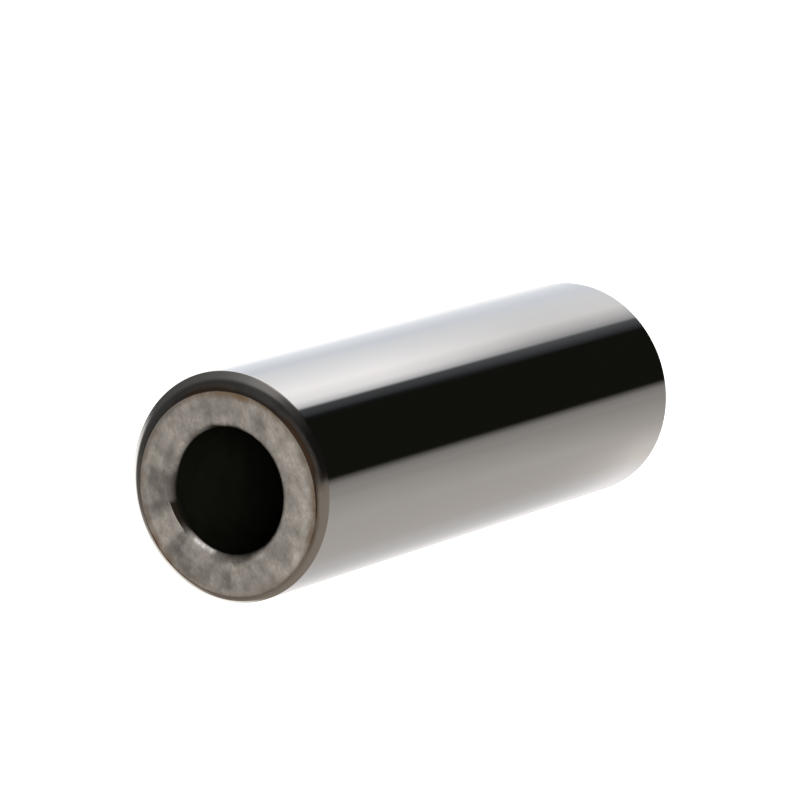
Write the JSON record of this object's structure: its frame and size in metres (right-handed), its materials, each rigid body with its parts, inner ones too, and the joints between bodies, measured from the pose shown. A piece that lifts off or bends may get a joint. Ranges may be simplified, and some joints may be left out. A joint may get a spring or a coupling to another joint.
{
  "type": "gudgeon pin",
  "caption": "Hollow straight steel pin with a ground and polished journal, a through bore and chamfered end faces, which joins a piston to its connecting rod.",
  "frame": {"origin": "on the axis of the ground journal, in the plane of the lower end face that the pin stands on", "axes": "+Z along the journal's axis, up; the formed bore and chamfers sit a little towards -X"},
  "size_m": [0.02, 0.02, 0.06],
  "materials": {
    "pin_steel": "superfinished journal, frosted end faces and dark bore"
  },
  "bodies": {
    "root": {"gudgeon_pin": "pin_steel"}
  },
  "joints": []
}
